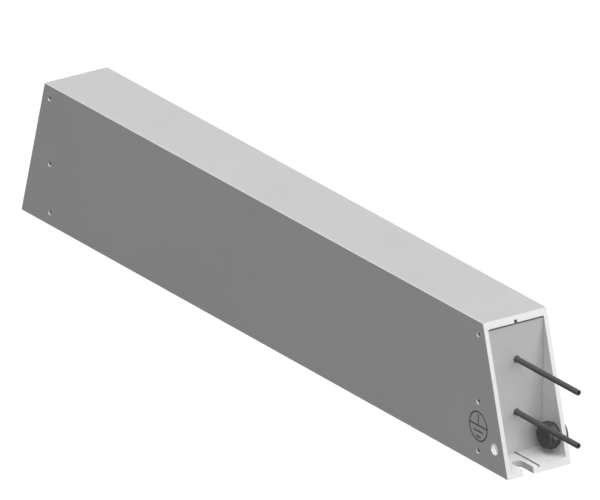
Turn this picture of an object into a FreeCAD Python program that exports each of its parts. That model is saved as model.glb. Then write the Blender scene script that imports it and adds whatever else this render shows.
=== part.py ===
import FreeCAD, Part
import math
import os

# Braking resistor in a sawn aluminium tube. Millimetres, +Z up, +X towards the leads.
# The origin is the middle of the underside of the base.

# Extruded tube
section_width = 40.0
section_height = 80.0
base_length = 452.2
end_setback = 22.85
side_wall = 2.5
base_wall = 3.6
top_wall = 3.8
outer_edge_radius = 0.4
inner_corner_radius = 0.8

# Guide grooves along the middle of the tube, which hold the element cards
top_groove_width = 1.8
top_groove_depth = 1.6
base_groove_width = 1.6
base_groove_depth = 0.9

# End plates and the punched dimples that hold them
plate_thickness = 10.0
plate_inset = 0.3
plate_base_gap = 0.1
plate_side_gap = 0.06
plate_top_gap = 1.2
stake_diameter = 3.2
stake_depth = 2.0
stake_tip_radius = 1.0
stake_boss_diameter = 2.6
stake_boss_height = 0.7
stake_pocket_gap = 0.1
stake_edge_distance = 3.8
stake_middle_height = 35.0

# Fixing slots, open to the ends of the base
slot_width = 6.6
slot_offset = 6.8
slot_depth = 12.7

# Earth hole in one side wall and earth stud in the other, on one line
earth_inset = 12.1
earth_height = 13.3
earth_hole_diameter = 6.3
stud_diameter = 8.0
stud_hole_gap = 0.2
stud_thread_gap = 0.05
stud_head_diameter = 14.6
stud_head_thickness = 1.9
stud_head_edge = 0.4
washer_diameter = 13.0
washer_thickness = 1.0
nut_across_flats = 13.0
nut_thickness = 4.0
nut_chamfer = 0.5
cap_diameter = 13.1
cap_thickness = 2.4
cap_dome = 0.6
cap_crown = 1.0
cap_edge = 0.5
cap_gap = 0.2

# Element cards
card_thickness = 1.0
card_rise = 0.9
card_spacing = 29.6
card_gap = 5.6
card_lead_room = 18.0
card_far_room = 6.0
ear_length = 14.0
ear_end_gap = 0.15

# Resistance ribbon, wound round each card
ribbon_width = 5.0
ribbon_thickness = 0.4
ribbon_gap = 0.05
ribbon_pitch = 10.0
winding_margin = 22.0

# Mica sheets beside the windings
sheet_thickness = 0.8
sheet_play = 0.25
sheet_overhang = 5.0

# Leads, lugs, link and rivets
lead_diameter = 3.1
lead_reach = 55.8
conductor_diameter = 1.8
conductor_gap = 0.05
strip_gap = 1.0
lug_thickness = 0.6
lug_width = 5.0
barrel_diameter = 4.0
barrel_length = 10.0
barrel_end_wall = 1.5
barrel_gap = 5.0
rivet_diameter = 2.0
rivet_gap = 0.05
rivet_head_diameter = 3.6
rivet_head_thickness = 0.6
rivet_inset = 5.0
link_width = 6.0

# Bushes in the terminal plate, end seals and filling
lead_hole_gap = 0.3
bush_diameter = 6.4
bush_length = 7.0
bush_gap = 0.05
seal_thickness = 16.0
pour_gap = 0.05

os.makedirs("parts", exist_ok=True)

# Levels that several pieces share
half_width = section_width / 2.0
half_inner = half_width - side_wall
half_base = base_length / 2.0
inner_top = section_height - top_wall
end_slope = end_setback / section_height
plate_face_x = half_base - end_slope * inner_top - plate_inset
plate_back_x = plate_face_x - plate_thickness
seal_back_x = plate_back_x - seal_thickness
stake_x = plate_face_x - plate_thickness / 2.0
stake_heights = [base_wall + stake_edge_distance, stake_middle_height, inner_top - stake_edge_distance]
stake_places = [(end * stake_x, side, z) for end in (-1, 1) for side in (-1, 1) for z in stake_heights]
earth_x = half_base - earth_inset
card_middle = section_height / 2.0 + card_rise
card_heights = {"upper": card_middle + card_spacing / 2.0, "lower": card_middle - card_spacing / 2.0}
card_height = card_spacing - card_gap
card_near_x = seal_back_x - card_lead_room
card_far_x = card_far_room - seal_back_x
card_face_y = card_thickness / 2.0
winding_near_x = card_near_x - winding_margin
winding_far_x = card_far_x + winding_margin
sheet_near_x = winding_near_x + sheet_overhang
sheet_far_x = winding_far_x - sheet_overhang
ribbon_inner_y = card_face_y + ribbon_gap
ribbon_outer_y = ribbon_inner_y + ribbon_thickness
sheet_inner_y = ribbon_outer_y + sheet_play
sheet_outer_y = sheet_inner_y + sheet_thickness
lead_y = card_face_y + lug_thickness / 2.0
barrel_back_x = card_near_x + barrel_gap
barrel_front_x = barrel_back_x + barrel_length
insulation_x = barrel_front_x + strip_gap
lead_tip_x = plate_face_x + lead_reach
lug_rivet_x = card_near_x - rivet_inset
link_rivet_x = card_far_x + rivet_inset


def vec(x, y, z):
    return FreeCAD.Vector(x, y, z)


def block(x0, x1, y0, y1, z0, z1):
    return Part.makeBox(x1 - x0, y1 - y0, z1 - z0, vec(x0, y0, z0))


def rod_x(radius, x0, x1, y, z):
    return Part.makeCylinder(radius, x1 - x0, vec(x0, y, z), vec(1, 0, 0))


def rod_y(radius, y0, y1, x, z):
    return Part.makeCylinder(radius, y1 - y0, vec(x, y0, z), vec(0, 1, 0))


def arc(first, middle, last):
    return Part.Arc(first, middle, last).toShape()


def section_face(x, half, z0, z1, radius):
    """Rectangle with round corners, in a plane across the tube."""
    turn = radius * (1.0 - math.sqrt(0.5))
    a = half - radius
    b = half - turn
    edges = [
        Part.makeLine(vec(x, -a, z0), vec(x, a, z0)),
        arc(vec(x, a, z0), vec(x, b, z0 + turn), vec(x, half, z0 + radius)),
        Part.makeLine(vec(x, half, z0 + radius), vec(x, half, z1 - radius)),
        arc(vec(x, half, z1 - radius), vec(x, b, z1 - turn), vec(x, a, z1)),
        Part.makeLine(vec(x, a, z1), vec(x, -a, z1)),
        arc(vec(x, -a, z1), vec(x, -b, z1 - turn), vec(x, -half, z1 - radius)),
        Part.makeLine(vec(x, -half, z1 - radius), vec(x, -half, z0 + radius)),
        arc(vec(x, -half, z0 + radius), vec(x, -b, z0 + turn), vec(x, -a, z0)),
    ]
    return Part.Face(Part.Wire(edges))


def inner_bar(x0, x1, gap):
    """Bar that fills the tube's inside between two places, with a gap all round."""
    z0 = base_wall + gap
    z1 = inner_top - gap
    return section_face(x0, half_inner - gap, z0, z1, inner_corner_radius).extrude(vec(x1 - x0, 0, 0))


def groove_bars(x0, x1, gap):
    """The two guide grooves as solid bars, with a gap all round."""
    top = top_groove_width / 2.0 - gap
    base = base_groove_width / 2.0 - gap
    high = inner_top + top_groove_depth - gap
    low = base_wall - base_groove_depth + gap
    upper = block(x0, x1, -top, top, inner_top - inner_corner_radius, high)
    lower = block(x0, x1, -base, base, low, base_wall + inner_corner_radius)
    return [upper, lower]


def stake_cone(x, side, y, z, base_radius, tip_radius, depth):
    """Cone that points from a side wall's face towards the middle of the tube."""
    return Part.makeCone(base_radius, tip_radius, depth, vec(x, side * y, z), vec(0, -side, 0))


def make_housing():
    outer = section_face(-half_base, half_width, 0.0, section_height, outer_edge_radius)
    tube = outer.extrude(vec(base_length, 0, 0))
    bore = inner_bar(-half_base - 1.0, half_base + 1.0, 0.0)
    tube = tube.cut(bore.multiFuse(groove_bars(-half_base - 1.0, half_base + 1.0, 0.0)))

    # Both ends are sawn at a slant, so that the base reaches further than the top
    half_top = half_base - end_setback
    corners = [vec(-half_base, -half_width, 0), vec(half_base, -half_width, 0)]
    corners += [vec(half_top, -half_width, section_height), vec(-half_top, -half_width, section_height)]
    side_view = Part.Face(Part.makePolygon(corners + corners[:1]))
    tube = tube.common(side_view.extrude(vec(0, section_width, 0)))

    # Each dimple is a punched pit outside and a boss inside
    bosses = []
    cutters = []
    for x, side, z in stake_places:
        pit = stake_cone(x, side, half_width, z, stake_diameter / 2.0, stake_tip_radius, stake_depth)
        radius = stake_boss_diameter / 2.0
        boss = stake_cone(x, side, half_inner, z, radius, stake_tip_radius, stake_boss_height)
        cutters.append(pit)
        bosses.append(boss)
    tube = tube.multiFuse(bosses)

    # Slots for the fixing screws
    radius = slot_width / 2.0
    round_x = half_base - slot_depth + radius
    for end in (-1, 1):
        arch = Part.makeCylinder(radius, base_wall + 1.0, vec(end * round_x, -slot_offset, -0.5))
        x0 = min(end * round_x, end * (half_base + 1.0))
        x1 = max(end * round_x, end * (half_base + 1.0))
        gate = block(x0, x1, -slot_offset - radius, -slot_offset + radius, -0.5, base_wall + 0.5)
        cutters.append(arch.fuse(gate))

    # Earth hole on one side, stud hole on the other
    cutters.append(rod_y(earth_hole_diameter / 2.0, -half_width - 1.0, -half_inner + 1.0, earth_x, earth_height))
    stud_hole = stud_diameter / 2.0 + stud_hole_gap
    cutters.append(rod_y(stud_hole, half_inner - 1.0, half_width + 1.0, earth_x, earth_height))
    return tube.cut(cutters).removeSplitter()


def make_plate(end):
    """End plate with a pocket for each boss of the housing."""
    x0 = min(end * plate_back_x, end * plate_face_x)
    x1 = max(end * plate_back_x, end * plate_face_x)
    z0 = base_wall + plate_base_gap
    z1 = inner_top - plate_top_gap
    face = section_face(x0, half_inner - plate_side_gap, z0, z1, inner_corner_radius)
    plate = face.extrude(vec(x1 - x0, 0, 0))
    cutters = []
    radius = stake_boss_diameter / 2.0 + stake_pocket_gap
    tip = stake_tip_radius + stake_pocket_gap
    depth = stake_boss_height + stake_pocket_gap
    for x, side, z in stake_places:
        if x * end > 0:
            cutters.append(stake_cone(x, side, half_inner, z, radius, tip, depth))
    return plate.cut(cutters)


def make_terminal_plate():
    plate = make_plate(1)
    hole = lead_diameter / 2.0 + lead_hole_gap
    seat = bush_diameter / 2.0 + bush_gap
    cutters = []
    for z in card_heights.values():
        cutters.append(rod_x(hole, plate_back_x - 1.0, plate_face_x + 1.0, lead_y, z))
        cutters.append(rod_x(seat, plate_back_x - 1.0, plate_back_x + bush_length + bush_gap, lead_y, z))
    return plate.cut(cutters)


def make_bushes():
    bushes = []
    for z in card_heights.values():
        body = rod_x(bush_diameter / 2.0, plate_back_x, plate_back_x + bush_length, lead_y, z)
        hole = rod_x(lead_diameter / 2.0 + bush_gap, plate_back_x - 1.0, plate_face_x, lead_y, z)
        bushes.append(body.cut(hole))
    return Part.makeCompound(bushes)


def make_seal(end, with_leads):
    """Poured seal behind an end plate, keyed into the guide grooves."""
    inner = seal_back_x + pour_gap
    outer = plate_back_x - pour_gap
    x0 = min(end * inner, end * outer)
    x1 = max(end * inner, end * outer)
    seal = inner_bar(x0, x1, pour_gap).multiFuse(groove_bars(x0, x1, pour_gap)).removeSplitter()
    if with_leads:
        hole = lead_diameter / 2.0 + pour_gap
        seal = seal.cut([rod_x(hole, x0 - 1.0, x1 + 1.0, lead_y, z) for z in card_heights.values()])
    return seal


def make_filling(side):
    """Pressed sand between a mica sheet and a side wall."""
    near = seal_back_x - pour_gap
    bar = inner_bar(-near, near, pour_gap)
    inner = sheet_outer_y + pour_gap
    barrel = lead_y + barrel_diameter / 2.0 + sheet_play
    step_x = sheet_near_x + pour_gap
    points = [(-near, inner), (step_x, inner)]
    if side > 0 and barrel > inner:
        points += [(step_x, barrel), (near, barrel)]
    else:
        points += [(near, inner)]
    points += [(near, half_width), (-near, half_width), (-near, inner)]
    outline = Part.makePolygon([vec(x, side * y, 0) for x, y in points])
    prism = Part.Face(outline).extrude(vec(0, 0, section_height))
    return bar.common(prism)


def make_card(name):
    """Mica card with an ear at each end that stands in a guide groove."""
    middle = card_heights[name]
    z0 = middle - card_height / 2.0
    z1 = middle + card_height / 2.0
    low = z0
    high = z1
    if name == "upper":
        high = inner_top + top_groove_depth - ear_end_gap
    else:
        low = base_wall - base_groove_depth + ear_end_gap
    near = card_near_x - ear_length
    far = card_far_x + ear_length
    points = [(card_far_x, low), (far, low), (far, z0), (near, z0), (near, low), (card_near_x, low)]
    points += [(card_near_x, high), (near, high), (near, z1), (far, z1), (far, high), (card_far_x, high)]
    outline = [points[0]]
    for point in points[1:]:
        if point != outline[-1]:
            outline.append(point)
    wire = Part.makePolygon([vec(x, -card_face_y, z) for x, z in outline + outline[:1]])
    card = Part.Face(wire).extrude(vec(0, card_thickness, 0)).removeSplitter()
    hole = rivet_diameter / 2.0 + rivet_gap
    places = (lug_rivet_x, link_rivet_x)
    return card.cut([rod_y(hole, -card_thickness, card_thickness, x, middle) for x in places])


def make_winding(middle):
    """Flat ribbon wound round a card, straight in front and slanting behind."""
    half = ribbon_width / 2.0
    inner = card_height / 2.0 + ribbon_gap
    outer = inner + ribbon_thickness
    turns = int((winding_near_x - winding_far_x - ribbon_width) / ribbon_pitch)
    pieces = []
    for i in range(turns + 1):
        x = winding_far_x + half + i * ribbon_pitch
        pieces.append(block(x - half, x + half, ribbon_inner_y, ribbon_outer_y, middle - outer, middle + outer))
        if i > 0:
            pieces.append(block(x - half, x + half, -ribbon_outer_y, ribbon_outer_y, middle - outer, middle - inner))
        if i < turns:
            pieces.append(block(x - half, x + half, -ribbon_outer_y, ribbon_outer_y, middle + inner, middle + outer))
            after = x + ribbon_pitch
            slant = [(x - half, outer), (x + half, outer), (after + half, -outer), (after - half, -outer)]
            wire = Part.makePolygon([vec(a, -ribbon_outer_y, middle + b) for a, b in slant + slant[:1]])
            pieces.append(Part.Face(wire).extrude(vec(0, ribbon_thickness, 0)))
    return pieces[0].multiFuse(pieces[1:]).removeSplitter()


def make_sheet(side):
    y0 = min(side * sheet_inner_y, side * sheet_outer_y)
    y1 = max(side * sheet_inner_y, side * sheet_outer_y)
    return block(sheet_far_x, sheet_near_x, y0, y1, base_wall + pour_gap, inner_top - pour_gap)


def make_lug(middle):
    """Crimp barrel with a flat tongue that is riveted to the card."""
    half = lug_width / 2.0
    tongue_x = lug_rivet_x - half
    barrel = rod_x(barrel_diameter / 2.0, barrel_back_x, barrel_front_x, lead_y, middle)
    z0 = middle - half
    z1 = middle + half
    neck = barrel_back_x + barrel_end_wall
    tongue = block(tongue_x, neck, card_face_y, card_face_y + lug_thickness, z0, z1)
    socket = rod_x(conductor_diameter / 2.0 + conductor_gap, neck, barrel_front_x + 1.0, lead_y, middle)
    hole = rivet_diameter / 2.0 + rivet_gap
    return barrel.fuse(tongue).cut([socket, rod_y(hole, 0.0, half_inner, lug_rivet_x, middle)]).removeSplitter()


def make_link():
    """Strip riveted across the far ends of both cards. The ribbon's tails to it aren't modelled."""
    half = link_width / 2.0
    z0 = card_heights["lower"] - card_height / 2.0 + half
    z1 = card_heights["upper"] + card_height / 2.0 - half
    y1 = card_face_y + lug_thickness
    strip = block(link_rivet_x - half, link_rivet_x + half, card_face_y, y1, z0, z1)
    hole = rivet_diameter / 2.0 + rivet_gap
    return strip.cut([rod_y(hole, 0.0, half_inner, link_rivet_x, z) for z in card_heights.values()])


def make_rivets():
    rivets = []
    radius = rivet_head_diameter / 2.0
    back = -card_face_y
    front = card_face_y + lug_thickness
    for x in (lug_rivet_x, link_rivet_x):
        for z in card_heights.values():
            shank = rod_y(rivet_diameter / 2.0, back, front, x, z)
            rear = rod_y(radius, back - rivet_head_thickness, back, x, z)
            head = rod_y(radius, front, front + rivet_head_thickness, x, z)
            rivets.append(shank.multiFuse([rear, head]))
    return Part.makeCompound(rivets)


def make_insulation(middle):
    sleeve = rod_x(lead_diameter / 2.0, insulation_x, lead_tip_x, lead_y, middle)
    hole = conductor_diameter / 2.0 + conductor_gap
    return sleeve.cut(rod_x(hole, insulation_x - 1.0, lead_tip_x + 1.0, lead_y, middle))


def make_conductor(middle):
    start = barrel_back_x + barrel_end_wall + conductor_gap
    return rod_x(conductor_diameter / 2.0, start, lead_tip_x, lead_y, middle)


def on_stud(radius, y):
    return vec(earth_x + radius, y, earth_height)


def turned_wire(wire):
    return Part.Face(wire).revolve(vec(earth_x, 0, earth_height), vec(0, 1, 0), 360)


def turned(points):
    """Turned piece on the stud's axis from radius and place pairs."""
    return turned_wire(Part.makePolygon([on_stud(r, y) for r, y in points + points[:1]]))


nut_seat_y = half_inner - washer_thickness
nut_front_y = nut_seat_y - nut_thickness
cap_back_y = nut_front_y - cap_gap
cap_front_y = cap_back_y - cap_thickness
thread_end_y = cap_front_y + cap_crown + stud_thread_gap


def make_stud():
    """Flat-headed stud, put in from outside."""
    r = stud_head_diameter / 2.0
    s = stud_diameter / 2.0
    top = half_width + stud_head_thickness
    points = [(0, thread_end_y), (s, thread_end_y), (s, half_width), (r, half_width)]
    points += [(r, top - stud_head_edge), (r - stud_head_edge, top), (0, top)]
    return turned(points)


def make_washer():
    hole = stud_diameter / 2.0 + stud_thread_gap
    ring = rod_y(washer_diameter / 2.0, nut_seat_y, half_inner, earth_x, earth_height)
    return ring.cut(rod_y(hole, nut_seat_y - 1.0, half_inner + 1.0, earth_x, earth_height))


def make_nut():
    """Hexagon nut with one corner towards the rim and its corners chamfered."""
    radius = nut_across_flats / math.sqrt(3.0)
    angles = [math.pi / 3.0 * i for i in range(7)]
    corners = [vec(earth_x + radius * math.cos(a), nut_front_y, earth_height + radius * math.sin(a)) for a in angles]
    prism = Part.Face(Part.makePolygon(corners)).extrude(vec(0, nut_thickness, 0))
    small = radius - nut_chamfer
    lift = nut_chamfer / math.sqrt(3.0)
    points = [(0, nut_front_y), (small, nut_front_y), (radius, nut_front_y + lift)]
    points += [(radius, nut_seat_y - lift), (small, nut_seat_y), (0, nut_seat_y)]
    hole = stud_diameter / 2.0 + stud_thread_gap
    return prism.common(turned(points)).cut(rod_y(hole, nut_front_y - 1.0, nut_seat_y + 1.0, earth_x, earth_height))


def make_cap():
    """Low closed cap nut with a slightly domed face on the end of the stud."""
    r = cap_diameter / 2.0
    face_r = r - cap_edge
    hole = stud_diameter / 2.0 + stud_thread_gap
    floor = cap_front_y + cap_crown
    rim_y = cap_front_y + cap_dome
    sphere = (face_r ** 2 + cap_dome ** 2) / (2.0 * cap_dome)
    half_r = face_r / 2.0
    half_y = cap_front_y + sphere - math.sqrt(sphere ** 2 - half_r ** 2)
    points = [(0, floor), (hole, floor), (hole, cap_back_y), (r, cap_back_y), (r, rim_y + cap_edge), (face_r, rim_y)]
    corners = [on_stud(a, y) for a, y in points]
    edges = [Part.makeLine(a, b) for a, b in zip(corners, corners[1:])]
    edges.append(arc(corners[-1], on_stud(half_r, half_y), on_stud(0, cap_front_y)))
    edges.append(Part.makeLine(on_stud(0, cap_front_y), corners[0]))
    return turned_wire(Part.Wire(edges))


pieces = {
    "housing": make_housing(),
    "terminal_end_plate": make_terminal_plate(),
    "blank_end_plate": make_plate(-1),
    "lead_bushes": make_bushes(),
    "terminal_end_seal": make_seal(1, True),
    "blank_end_seal": make_seal(-1, False),
    "left_filling": make_filling(-1),
    "right_filling": make_filling(1),
    "left_mica_sheet": make_sheet(-1),
    "right_mica_sheet": make_sheet(1),
    "link_strip": make_link(),
    "element_rivets": make_rivets(),
    "earth_stud": make_stud(),
    "earth_stud_washer": make_washer(),
    "earth_stud_nut": make_nut(),
    "earth_stud_cap": make_cap(),
}
for name, middle in card_heights.items():
    pieces[name + "_card"] = make_card(name)
    pieces[name + "_winding"] = make_winding(middle)
    pieces[name + "_lug"] = make_lug(middle)
    pieces[name + "_lead_insulation"] = make_insulation(middle)
    pieces[name + "_lead_conductor"] = make_conductor(middle)

for node, shape in pieces.items():
    shape.exportStep("parts/" + node + ".step")
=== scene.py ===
import math

import bmesh
import bpy
from mathutils import Matrix, Vector


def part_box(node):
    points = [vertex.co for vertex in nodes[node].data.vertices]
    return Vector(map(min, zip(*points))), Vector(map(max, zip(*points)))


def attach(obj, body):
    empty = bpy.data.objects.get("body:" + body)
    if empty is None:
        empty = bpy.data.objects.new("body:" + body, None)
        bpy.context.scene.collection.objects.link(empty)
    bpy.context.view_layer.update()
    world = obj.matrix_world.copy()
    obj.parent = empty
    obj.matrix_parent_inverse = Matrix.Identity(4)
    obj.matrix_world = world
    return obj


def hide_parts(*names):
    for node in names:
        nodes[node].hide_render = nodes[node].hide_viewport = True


# Looks of a braking resistor in a sawn aluminium tube. Metres, +Z up, +X towards the leads.

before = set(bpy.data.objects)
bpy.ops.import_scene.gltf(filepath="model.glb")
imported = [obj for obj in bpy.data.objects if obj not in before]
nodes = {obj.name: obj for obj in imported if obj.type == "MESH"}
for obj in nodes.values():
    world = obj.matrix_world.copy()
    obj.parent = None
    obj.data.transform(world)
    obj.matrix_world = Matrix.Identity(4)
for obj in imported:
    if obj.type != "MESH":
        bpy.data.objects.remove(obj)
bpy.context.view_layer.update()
mm = 0.001

# Levels read from the frame
housing_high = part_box("housing")[1]
plate_face_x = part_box("terminal_end_plate")[1].x
half_base = housing_high.x
half_width = 20.0 * mm
height = housing_high.z
end_slope = 22.85 / 80.0
side_wall = 2.5 * mm
base_wall = 3.6 * mm
top_wall = 3.8 * mm
slot_width = 6.6 * mm
slot_offset = 6.8 * mm
slot_depth = 12.7 * mm
groove_width = 1.6 * mm
pit_depth = 1.2 * mm
pit_reach = 205.0 * mm
edge_radius = 0.4 * mm
zone_edge = 0.06 * mm
corner_reach = 19.0 * mm

# Camera, placed as the photograph shows the object
view_azimuth = math.radians(55.6456)
view_elevation = math.radians(22.1247)
view_target = Vector((6.773, 0.0, 50.388)) * mm
view_distance = 12.2087
view_lens = 1400.0
sensor_width = 36.0

# Earth sign on the side wall
sign_x = 199.4 * mm
sign_z = 21.3 * mm
sign_radius = 8.35 * mm
sign_line = 0.8 * mm
sign_film = 0.04 * mm
sign_segments = 96
stem_top = 6.9 * mm
bar_places = ((0.5, 15.9), (-2.7, 8.9), (-5.8, 4.2))

# Leads
jacket_bore = 0.95 * mm
jacket_edge = 0.12 * mm
strand_lay = 16.0 * mm
strand_step = 0.8 * mm
strand_sides = 10
strand_rings = ((1, 0.0), (6, 0.36 * mm), (12, 0.70 * mm))
strand_radius = 0.18 * mm
strand_recess = 0.9 * mm
exit_depth = 1.0 * mm
lead_segments = 48


def new_object(name, bm, material):
    mesh = bpy.data.meshes.new(name)
    bmesh.ops.recalc_face_normals(bm, faces=bm.faces)
    bm.to_mesh(mesh)
    bm.free()
    piece = bpy.data.objects.new(name, mesh)
    bpy.context.scene.collection.objects.link(piece)
    mesh.materials.append(material)
    return piece


def shade_smooth(piece, angle):
    """Smooth shading, with edges sharper than the angle kept crisp."""
    mesh = piece.data
    mesh.polygons.foreach_set("use_smooth", [True] * len(mesh.polygons))
    bm = bmesh.new()
    bm.from_mesh(mesh)
    for edge in bm.edges:
        edge.smooth = len(edge.link_faces) == 2 and edge.calc_face_angle() < angle
    bm.to_mesh(mesh)
    bm.free()


def make_camera():
    data = bpy.data.cameras.new("camera")
    data.lens = view_lens
    data.sensor_width = sensor_width
    data.clip_start = 1.0
    data.clip_end = 60.0
    camera = bpy.data.objects.new("camera", data)
    back = Vector((
        math.sin(view_azimuth) * math.cos(view_elevation),
        -math.cos(view_azimuth) * math.cos(view_elevation),
        math.sin(view_elevation),
    ))
    camera.location = view_target + back * view_distance
    camera.rotation_mode = "QUATERNION"
    camera.rotation_quaternion = (-back).to_track_quat("-Z", "Y")
    bpy.context.scene.collection.objects.link(camera)
    bpy.context.scene.camera = camera


# Node tools


class Tree:
    """Small helper that adds and joins nodes in one tree."""

    def __init__(self, tree):
        self.tree = tree

    def add(self, kind, **values):
        node = self.tree.nodes.new(kind)
        for name, value in values.items():
            setattr(node, name, value)
        return node

    def put(self, socket, value):
        if isinstance(value, bpy.types.NodeSocket):
            self.tree.links.new(value, socket)
        else:
            socket.default_value = value

    def math(self, operation, *values):
        node = self.add("ShaderNodeMath", operation=operation)
        for i, value in enumerate(values):
            self.put(node.inputs[i], value)
        return node.outputs[0]

    def both(self, *masks):
        """Where all the masks hold."""
        result = masks[0]
        for mask in masks[1:]:
            result = self.math("MULTIPLY", result, mask)
        return result

    def over(self, value, level):
        return self.math("GREATER_THAN", value, level)

    def under(self, value, level):
        return self.math("LESS_THAN", value, level)

    def spread(self, value, low, high, new_low, new_high):
        node = self.add("ShaderNodeMapRange")
        for i, v in enumerate((value, low, high, new_low, new_high)):
            self.put(node.inputs[i], v)
        return node.outputs[0]

    def noise(self, vector, scale, detail, roughness=0.5):
        node = self.add("ShaderNodeTexNoise")
        self.put(node.inputs["Vector"], vector)
        self.put(node.inputs["Scale"], scale)
        self.put(node.inputs["Detail"], detail)
        self.put(node.inputs["Roughness"], roughness)
        return node.outputs["Fac"]

    def stretch(self, vector, scale):
        node = self.add("ShaderNodeVectorMath", operation="MULTIPLY")
        self.put(node.inputs[0], vector)
        self.put(node.inputs[1], scale)
        return node.outputs[0]

    def place(self):
        return self.add("ShaderNodeTexCoord").outputs["Object"]

    def parts(self, vector):
        node = self.add("ShaderNodeSeparateXYZ")
        self.put(node.inputs[0], vector)
        return node.outputs

    def mix(self, factor, first, second):
        node = self.add("ShaderNodeMix", data_type="RGBA")
        self.put(node.inputs["Factor"], factor)
        self.put(node.inputs[6], first)
        self.put(node.inputs[7], second)
        return node.outputs[2]

    def bump(self, height, strength, distance):
        node = self.add("ShaderNodeBump")
        self.put(node.inputs["Height"], height)
        self.put(node.inputs["Strength"], strength)
        self.put(node.inputs["Distance"], distance)
        return node.outputs[0]

    def group(self, tree, **values):
        node = self.add("ShaderNodeGroup", node_tree=tree)
        for name, value in values.items():
            self.put(node.inputs[name.replace("_", " ")], value)
        return node.outputs


def new_group(name, inputs, outputs):
    tree = bpy.data.node_groups.new(name, "ShaderNodeTree")
    for label, kind, value in inputs:
        socket = tree.interface.new_socket(label, in_out="INPUT", socket_type=kind)
        socket.default_value = value
    for label, kind in outputs:
        tree.interface.new_socket(label, in_out="OUTPUT", socket_type=kind)
    t = Tree(tree)
    return t, t.add("NodeGroupInput").outputs, t.add("NodeGroupOutput").inputs


def make_finish_group():
    """Colour, roughness and height of a metal surface with drawn lines, clouding and specks."""
    t, given, out = new_group(
        "metal_finish",
        [
            ("Colour", "NodeSocketColor", (0.5, 0.5, 0.5, 1.0)),
            ("Line stretch", "NodeSocketVector", (20.0, 900.0, 900.0)),
            ("Line depth", "NodeSocketFloat", 0.05),
            ("Cloud size", "NodeSocketFloat", 25.0),
            ("Cloud depth", "NodeSocketFloat", 0.05),
            ("Speck depth", "NodeSocketFloat", 0.03),
            ("Roughness", "NodeSocketFloat", 0.45),
            ("Roughness spread", "NodeSocketFloat", 0.1),
        ],
        [("Colour", "NodeSocketColor"), ("Roughness", "NodeSocketFloat"), ("Height", "NodeSocketFloat")],
    )
    place = t.place()
    lines = t.noise(t.stretch(place, given["Line stretch"]), 1.0, 3.0, 0.6)
    clouds = t.noise(place, given["Cloud size"], 4.0, 0.55)
    specks = t.noise(place, 2600.0, 2.0, 0.6)
    lines_part = t.math("MULTIPLY", t.math("SUBTRACT", lines, 0.5), given["Line depth"])
    clouds_part = t.math("MULTIPLY", t.math("SUBTRACT", clouds, 0.5), given["Cloud depth"])
    specks_part = t.math("MULTIPLY", t.math("SUBTRACT", specks, 0.5), given["Speck depth"])
    change = t.math("ADD", t.math("ADD", lines_part, clouds_part), specks_part)
    gain = t.math("ADD", change, 1.0)
    shade = t.add("ShaderNodeVectorMath", operation="SCALE")
    t.put(shade.inputs[0], given["Colour"])
    t.put(shade.inputs["Scale"], gain)
    t.put(out["Colour"], shade.outputs[0])
    rough = t.math("MULTIPLY", t.math("SUBTRACT", lines, clouds), given["Roughness spread"])
    t.put(out["Roughness"], t.math("ADD", rough, given["Roughness"]))
    t.put(out["Height"], t.math("ADD", t.math("MULTIPLY", lines, 0.7), t.math("MULTIPLY", specks, 0.3)))
    return t.tree


tube_zones = ("Sawn", "Floor", "Walls", "Milled", "Pierced", "Pit", "Groove", "Edge", "Corner", "Saw marks")


def make_zone_group():
    """Masks of the tube's zones, by place on the tube."""
    t, given, out = new_group(
        "tube_zones",
        [("Saw depth", "NodeSocketFloat", 0.08)],
        [(name, "NodeSocketFloat") for name in tube_zones],
    )
    place = t.place()
    x, y, z = t.parts(place)[:3]
    end = t.math("ABSOLUTE", x)
    side = t.math("ABSOLUTE", y)
    reach = t.math("ADD", end, t.math("MULTIPLY", z, end_slope))
    t.put(out["Sawn"], t.over(reach, half_base - zone_edge))
    across = t.under(side, half_width - side_wall + zone_edge)
    # Painted light: the floor inside the tube takes a lighter tone than the outside.
    t.put(out["Floor"], t.both(across, t.over(z, base_wall - zone_edge), t.under(z, base_wall + zone_edge)))
    above_floor = t.over(z, base_wall + zone_edge)
    # Painted light: the inner walls take a lighter tone than the outside.
    t.put(out["Walls"], t.both(across, above_floor, t.under(z, height - top_wall + zone_edge)))
    in_slot = t.under(t.math("ABSOLUTE", t.math("ADD", y, slot_offset)), slot_width / 2.0 + zone_edge)
    near_end = t.over(end, half_base - slot_depth - zone_edge)
    in_base = t.both(t.over(z, zone_edge), t.under(z, base_wall - zone_edge))
    t.put(out["Milled"], t.both(in_slot, near_end, in_base))
    # Painted shade: the groove in the base takes a darker tone.
    before_end = t.under(reach, half_base - groove_width)
    t.put(out["Groove"], t.both(t.under(side, groove_width / 2.0 + zone_edge), in_base, before_end))
    # Painted light: the walls of the holes and pits in the side walls take a near-white tone.
    between = t.both(t.over(z, base_wall), t.under(z, height - top_wall))
    in_wall = t.both(t.over(side, half_width - side_wall + zone_edge), t.under(side, half_width - zone_edge))
    t.put(out["Pierced"], t.both(in_wall, between))
    # Painted shade at the bottom of the pits.
    at_bottom = t.under(side, half_width - pit_depth + zone_edge)
    t.put(out["Pit"], t.both(in_wall, between, at_bottom, t.under(end, pit_reach)))
    # Painted highlight along the rounded top long edges.
    t.put(out["Edge"], t.both(t.over(side, half_width - edge_radius), t.over(z, height - edge_radius)))
    # Painted shade: the floor darkens towards the end plate and the side walls.
    by_plate = t.spread(end, plate_face_x, plate_face_x + corner_reach, 1.0, 0.0)
    inner_side = half_width - side_wall
    by_wall = t.spread(side, inner_side - 0.4 * corner_reach, inner_side, 0.0, 0.6)
    t.put(out["Corner"], t.math("MAXIMUM", by_plate, by_wall))
    marks = t.noise(t.stretch(place, (400.0, 60.0, 2600.0)), 1.0, 3.0, 0.6)
    t.put(out["Saw marks"], t.math("MULTIPLY", t.math("SUBTRACT", marks, 0.5), given["Saw depth"]))
    return t.tree


finish_group = make_finish_group()
zone_group = make_zone_group()
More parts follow.
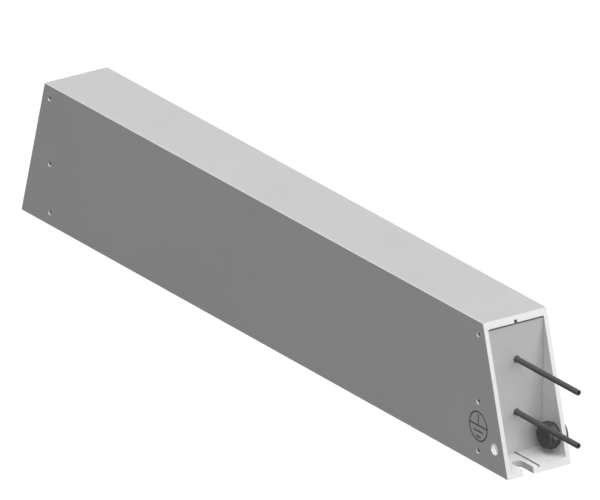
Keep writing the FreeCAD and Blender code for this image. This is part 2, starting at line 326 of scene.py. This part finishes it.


# Tones of the tube by zone, matched to the photograph. The corner and pit tones stand in for shade.
# The floor, inner wall and hole wall tones are painted light, the edge tone a painted highlight, and the
# groove tone painted shade.
tube_tone = 0.595
sawn_tone = 0.82
floor_painted_light_tone = 0.95
corner_tone = 0.70
inner_wall_painted_light_tone = 0.78
milled_tone = 0.62
hole_wall_painted_light_tone = 1.0
pit_tone = 0.06
groove_painted_shade_tone = 0.48
edge_painted_highlight_tone = 0.98
plate_tone = 0.545
# Painted shade on the end plate along its top edge and left side.
plate_shade_tone = 0.12
plate_shade_depth = 0.12
plate_shade_reach = 4.0 * mm


def new_material(name):
    material = bpy.data.materials.new(name)
    material.use_nodes = True
    tree = material.node_tree
    tree.nodes.clear()
    t = Tree(tree)
    shader = t.add("ShaderNodeBsdfPrincipled")
    output = t.add("ShaderNodeOutputMaterial")
    t.put(output.inputs["Surface"], shader.outputs[0])
    return material, t, shader.inputs


def grey(value):
    return (value, value, value, 1.0)


def metal(name, colour, metallic, bump=0.15, specular=0.5, **values):
    """Metal or other hard finish built from the shared group."""
    material, t, shader = new_material(name)
    out = t.group(finish_group, Colour=colour, **values)
    t.put(shader["Base Color"], out["Colour"])
    t.put(shader["Roughness"], out["Roughness"])
    t.put(shader["Normal"], t.bump(out["Height"], bump, 0.02 * mm))
    shader["Metallic"].default_value = metallic
    shader["Specular IOR Level"].default_value = specular
    return material


def make_aluminium():
    """Extruded aluminium: drawn lines along the tube, bright saw marks on its ends."""
    material, t, shader = new_material("aluminium")
    out = t.group(
        finish_group,
        Colour=grey(tube_tone),
        Line_stretch=(6.0, 1500.0, 1500.0),
        Line_depth=0.06,
        Cloud_size=18.0,
        Cloud_depth=0.05,
        Speck_depth=0.05,
        Roughness=0.46,
        Roughness_spread=0.12,
    )
    zones = t.group(zone_group, Saw_depth=0.10)
    gain = t.math("ADD", zones["Saw marks"], 1.0)
    sawn = t.add("ShaderNodeVectorMath", operation="SCALE")
    t.put(sawn.inputs[0], grey(sawn_tone)[:3])
    t.put(sawn.inputs["Scale"], gain)
    # Painted light and shade by zone: lighter floor, inner walls and hole walls, a highlight on the top
    # edges, darker corners, groove and pits.
    floor = t.mix(zones["Corner"], grey(floor_painted_light_tone), grey(corner_tone))
    colour = t.mix(zones["Floor"], out["Colour"], floor)
    colour = t.mix(zones["Walls"], colour, grey(inner_wall_painted_light_tone))
    colour = t.mix(zones["Groove"], colour, grey(groove_painted_shade_tone))
    colour = t.mix(zones["Milled"], colour, grey(milled_tone))
    colour = t.mix(zones["Pierced"], colour, grey(hole_wall_painted_light_tone))
    colour = t.mix(zones["Pit"], colour, grey(pit_tone))
    colour = t.mix(zones["Edge"], colour, grey(edge_painted_highlight_tone))
    t.put(shader["Base Color"], t.mix(zones["Sawn"], colour, sawn.outputs[0]))
    t.put(shader["Roughness"], t.math("ADD", out["Roughness"], zones["Saw marks"]))
    cut = t.math("MULTIPLY", t.math("MULTIPLY", zones["Saw marks"], zones["Sawn"]), 8.0)
    t.put(shader["Normal"], t.bump(t.math("ADD", out["Height"], cut), 0.15, 0.02 * mm))
    shader["Metallic"].default_value = 0.08
    shader["Specular IOR Level"].default_value = 0.15
    return material


def make_plate_finish():
    """Machined end plate, with painted shade along its top edge and beside the near wall."""
    material, t, shader = new_material("end_plate")
    out = t.group(
        finish_group,
        Colour=grey(plate_tone),
        Line_stretch=(300.0, 40.0, 700.0),
        Line_depth=0.05,
        Cloud_size=40.0,
        Cloud_depth=0.06,
        Roughness=0.5,
    )
    y, z = t.parts(t.place())[1:3]
    inner_top = height - top_wall
    inner_side = half_width - side_wall
    # Painted shade: the plate darkens within a few millimetres of its top edge and its left side.
    at_top = t.spread(z, inner_top - plate_shade_reach, inner_top, 0.0, plate_shade_depth)
    left = t.math("MULTIPLY", y, -1.0)
    at_side = t.spread(left, inner_side - plate_shade_reach, inner_side, 0.0, 0.5 * plate_shade_depth)
    plate_shade = t.math("MAXIMUM", at_top, at_side)
    t.put(shader["Base Color"], t.mix(plate_shade, out["Colour"], grey(plate_shade_tone)))
    t.put(shader["Roughness"], out["Roughness"])
    t.put(shader["Normal"], t.bump(out["Height"], 0.15, 0.02 * mm))
    shader["Metallic"].default_value = 0.12
    return material


def make_materials():
    along = (6.0, 1200.0, 1200.0)
    flat = (300.0, 40.0, 900.0)
    return {
        "aluminium": make_aluminium(),
        "end_plate": make_plate_finish(),
        "bush": metal("bush", (0.75, 0.73, 0.68, 1.0), 0.0, Line_depth=0.02, Roughness=0.55),
        "seal": metal("seal", (0.60, 0.58, 0.55, 1.0), 0.0, 0.6, Line_depth=0.0, Cloud_size=90.0,
                      Cloud_depth=0.25, Speck_depth=0.4, Roughness=0.85),
        "sand": metal("sand", (0.52, 0.42, 0.28, 1.0), 0.0, 1.0, Line_depth=0.0, Cloud_size=200.0,
                      Cloud_depth=0.3, Speck_depth=0.9, Roughness=0.95),
        "mica": metal("mica", (0.47, 0.38, 0.24, 1.0), 0.15, 0.3, Line_stretch=(120.0, 120.0, 120.0),
                      Line_depth=0.3, Cloud_size=60.0, Cloud_depth=0.3, Roughness=0.35),
        "ribbon": metal("ribbon", (0.36, 0.33, 0.29, 1.0), 0.9, 0.2, Line_stretch=(900.0, 900.0, 20.0),
                        Line_depth=0.15, Roughness=0.4),
        "plated": metal("plated", (0.62, 0.60, 0.55, 1.0), 0.9, 0.2, Line_stretch=along, Line_depth=0.12,
                        Roughness=0.32),
        "conductor": metal("conductor", (0.022, 0.021, 0.02, 1.0), 0.2, 0.2, Line_stretch=along,
                           Line_depth=0.2, Roughness=0.45),
        "insulation": metal("insulation", grey(0.122), 0.0, 0.25, 0.05, Line_stretch=(15.0, 2500.0, 2500.0),
                            Line_depth=0.25, Cloud_size=120.0, Cloud_depth=0.2, Speck_depth=0.2,
                            Roughness=0.5),
        "black_steel": metal("black_steel", grey(0.07), 0.15, 0.3, 0.2, Line_stretch=flat, Line_depth=0.12,
                             Cloud_size=220.0, Cloud_depth=0.35, Speck_depth=0.25, Roughness=0.42,
                             Roughness_spread=0.2),
        "sign_ink": metal("sign_ink", grey(0.012), 0.0, 0.2, Line_stretch=(700.0, 700.0, 700.0),
                          Line_depth=0.4, Cloud_size=400.0, Cloud_depth=0.3, Roughness=0.6),
    }


materials = make_materials()

slots_by_node = {
    "housing": "aluminium",
    "terminal_end_plate": "end_plate",
    "blank_end_plate": "end_plate",
    "lead_bushes": "bush",
    "terminal_end_seal": "seal",
    "blank_end_seal": "seal",
    "left_filling": "sand",
    "right_filling": "sand",
    "left_mica_sheet": "mica",
    "right_mica_sheet": "mica",
    "upper_card": "mica",
    "lower_card": "mica",
    "upper_winding": "ribbon",
    "lower_winding": "ribbon",
    "link_strip": "plated",
    "element_rivets": "plated",
    "upper_lug": "plated",
    "lower_lug": "plated",
    "upper_lead_insulation": "insulation",
    "lower_lead_insulation": "insulation",
    "upper_lead_conductor": "conductor",
    "lower_lead_conductor": "conductor",
    "earth_stud": "black_steel",
    "earth_stud_washer": "black_steel",
    "earth_stud_nut": "black_steel",
    "earth_stud_cap": "black_steel",
}


def dress_nodes():
    for node, slot in slots_by_node.items():
        mesh = nodes[node].data
        mesh.materials.clear()
        mesh.materials.append(materials[slot])


def turned_along_x(bm, y, z, points, segments):
    """Closed ring profile of (x, radius) points, turned about a line along X."""
    corners = [bm.verts.new((x, y + r, z)) for x, r in points]
    edges = [bm.edges.new((a, b)) for a, b in zip(corners, corners[1:] + corners[:1])]
    bmesh.ops.spin(
        bm, geom=corners + edges, cent=(0.0, y, z), axis=(1.0, 0.0, 0.0), angle=2.0 * math.pi,
        steps=segments, use_merge=True,
    )
    bmesh.ops.remove_doubles(bm, verts=bm.verts, dist=1e-7)


def make_jacket(name, x0, x1, y, z, radius, cut_edge):
    """Insulation tube. Its cut end has a slightly rounded outer edge."""
    bm = bmesh.new()
    points = [(x0, jacket_bore), (x0, radius), (x1 - cut_edge, radius)]
    points += [(x1 - cut_edge * 0.3, radius - cut_edge * 0.3), (x1, radius - cut_edge), (x1, jacket_bore)]
    turned_along_x(bm, y, z, points, lead_segments)
    piece = new_object(name, bm, materials["insulation"])
    shade_smooth(piece, math.radians(40.0))
    return piece


def make_strands(name, x0, x1, y, z):
    """Twisted bundle of round strands, one in the middle and two rings round it."""
    bm = bmesh.new()
    for count, ring in strand_rings:
        for i in range(count):
            turn = 2.0 * math.pi * i / count
            middle = Vector((x0, y + ring * math.cos(turn), z + ring * math.sin(turn)))
            upright = Matrix.Translation(middle) @ Matrix.Rotation(math.pi / 2.0, 4, "Y")
            bmesh.ops.create_circle(
                bm, cap_ends=False, segments=strand_sides, radius=strand_radius, matrix=upright,
            )
    steps = int((x1 - x0) / strand_step)
    bmesh.ops.spin(
        bm, geom=bm.verts[:] + bm.edges[:], cent=(0.0, y, z), axis=(1.0, 0.0, 0.0),
        dvec=((x1 - x0) / steps, 0.0, 0.0), angle=2.0 * math.pi * (x1 - x0) / strand_lay, steps=steps,
    )
    bmesh.ops.holes_fill(bm, edges=[e for e in bm.edges if e.is_boundary], sides=strand_sides)
    piece = new_object(name, bm, materials["conductor"])
    shade_smooth(piece, math.radians(50.0))
    return piece


def make_lead(side):
    """One lead: stranded conductor, insulation in the object, and the free end as a cord."""
    low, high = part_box(side + "_lead_insulation")
    y = (low.y + high.y) / 2.0
    z = (low.z + high.z) / 2.0
    radius = (high.z - low.z) / 2.0
    exit_x = plate_face_x - exit_depth
    root = make_jacket(side + "_lead_root", low.x, exit_x, y, z, radius, 0.0)
    free = make_jacket(side + "_lead", exit_x, high.x, y, z, radius, jacket_edge)
    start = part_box(side + "_lead_conductor")[0].x
    strands = make_strands(side + "_lead_strands", start, high.x - strand_recess, y, z)
    for piece, slot in ((root, "insulation"), (free, "insulation"), (strands, "conductor")):
        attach(piece, "root")
    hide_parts(side + "_lead_insulation")
    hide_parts(side + "_lead_insulation")
    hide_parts(side + "_lead_conductor")


def add_stroke(bm, x0, x1, z0, z1):
    """Straight stroke of the sign with round ends, as a thin film on the wall."""
    middle = Vector(((x0 + x1) / 2.0, -half_width - sign_film / 2.0, (z0 + z1) / 2.0))
    size = Matrix.Diagonal((x1 - x0, sign_film, z1 - z0, 1.0))
    made = bmesh.ops.create_cube(bm, size=1.0, matrix=Matrix.Translation(middle) @ size)
    edges = {e for v in made["verts"] for e in v.link_edges}
    corners = [e for e in edges if abs(e.verts[0].co.y - e.verts[1].co.y) > 1e-6]
    bmesh.ops.bevel(
        bm, geom=corners, offset=sign_line * 0.3, segments=4, profile=0.5, affect="EDGES", material=-1,
    )


def make_earth_sign():
    """Protective earth sign: ring, stem and three bars, printed on the side wall."""
    bm = bmesh.new()
    inner = sign_radius - sign_line
    wall = -half_width
    profile = [(inner, wall), (sign_radius, wall), (sign_radius, wall - sign_film), (inner, wall - sign_film)]
    corners = [bm.verts.new((sign_x + r, y, sign_z)) for r, y in profile]
    edges = [bm.edges.new((a, b)) for a, b in zip(corners, corners[1:] + corners[:1])]
    bmesh.ops.spin(
        bm, geom=corners + edges, cent=(sign_x, 0.0, sign_z), axis=(0.0, 1.0, 0.0), angle=2.0 * math.pi,
        steps=sign_segments, use_merge=True,
    )
    bmesh.ops.remove_doubles(bm, verts=bm.verts, dist=1e-7)
    half_line = sign_line / 2.0
    for place, length in bar_places:
        z = sign_z + place * mm
        add_stroke(bm, sign_x - length * mm / 2.0, sign_x + length * mm / 2.0, z - half_line, z + half_line)
    foot = sign_z + bar_places[0][0] * mm
    add_stroke(bm, sign_x - half_line, sign_x + half_line, foot, sign_z + stem_top)
    sign = new_object("earth_sign", bm, materials["sign_ink"])
    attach(sign, "root")


# Floor, world and lamps
floor_size = 12.0
floor_colour = 0.1
floor_glow = 0.96
ambient = 0.06
# Each lamp: power, size, azimuth and elevation in degrees, distance
lamps = {
    "key_lamp": (55.0, 4.0, 48.0, 30.0, 6.0),
    "back_lamp": (45.0, 3.0, 160.0, 12.0, 6.0),
    "front_lamp": (350.0, 8.0, 8.0, 26.0, 6.0),
    "top_lamp": (140.0, 3.6, -60.0, 72.0, 5.0),
}


def background_rays(t):
    path = t.add("ShaderNodeLightPath").outputs
    return t.math("MAXIMUM", t.math("MAXIMUM", path["Is Camera Ray"], path["Is Glossy Ray"]),
                  path["Is Transmission Ray"])


def make_floor():
    bm = bmesh.new()
    bmesh.ops.create_grid(bm, x_segments=8, y_segments=8, size=floor_size / 2.0)
    material = bpy.data.materials.new("floor")
    material.use_nodes = True
    material.node_tree.nodes.clear()
    t = Tree(material.node_tree)
    matt = t.add("ShaderNodeBsdfDiffuse")
    t.put(matt.inputs["Color"], grey(floor_colour))
    glow = t.add("ShaderNodeEmission")
    t.put(glow.inputs["Strength"], t.math("MULTIPLY", background_rays(t), floor_glow))
    both = t.add("ShaderNodeAddShader")
    t.put(both.inputs[0], matt.outputs[0])
    t.put(both.inputs[1], glow.outputs[0])
    t.put(t.add("ShaderNodeOutputMaterial").inputs["Surface"], both.outputs[0])
    floor = new_object("floor", bm, material)


def make_world():
    world = bpy.data.worlds.new("studio")
    bpy.context.scene.world = world
    world.use_nodes = True
    t = Tree(world.node_tree)
    world.node_tree.nodes.clear()
    sky = t.add("ShaderNodeBackground")
    t.put(sky.inputs["Color"], grey(1.0))
    t.put(sky.inputs["Strength"], t.spread(background_rays(t), 0.0, 1.0, ambient, 1.0))
    t.put(t.add("ShaderNodeOutputWorld").inputs["Surface"], sky.outputs[0])


def make_lamp(name, power, size, azimuth, elevation, distance):
    """Square softbox aimed at the object. Azimuth 0 stands in front of the terminal end."""
    azimuth = math.radians(azimuth)
    elevation = math.radians(elevation)
    data = bpy.data.lights.new(name, "AREA")
    data.energy = power
    data.size = size
    lamp = bpy.data.objects.new(name, data)
    back = Vector((
        math.cos(azimuth) * math.cos(elevation),
        math.sin(azimuth) * math.cos(elevation),
        math.sin(elevation),
    ))
    lamp.location = back * distance
    lamp.rotation_mode = "QUATERNION"
    lamp.rotation_quaternion = (-back).to_track_quat("-Z", "Y")
    bpy.context.scene.collection.objects.link(lamp)


make_camera()
for side in ("upper", "lower"):
    make_lead(side)
dress_nodes()
make_earth_sign()
make_floor()
make_world()
for name, values in lamps.items():
    make_lamp(name, *values)
bpy.context.scene.view_settings.view_transform = "Standard"
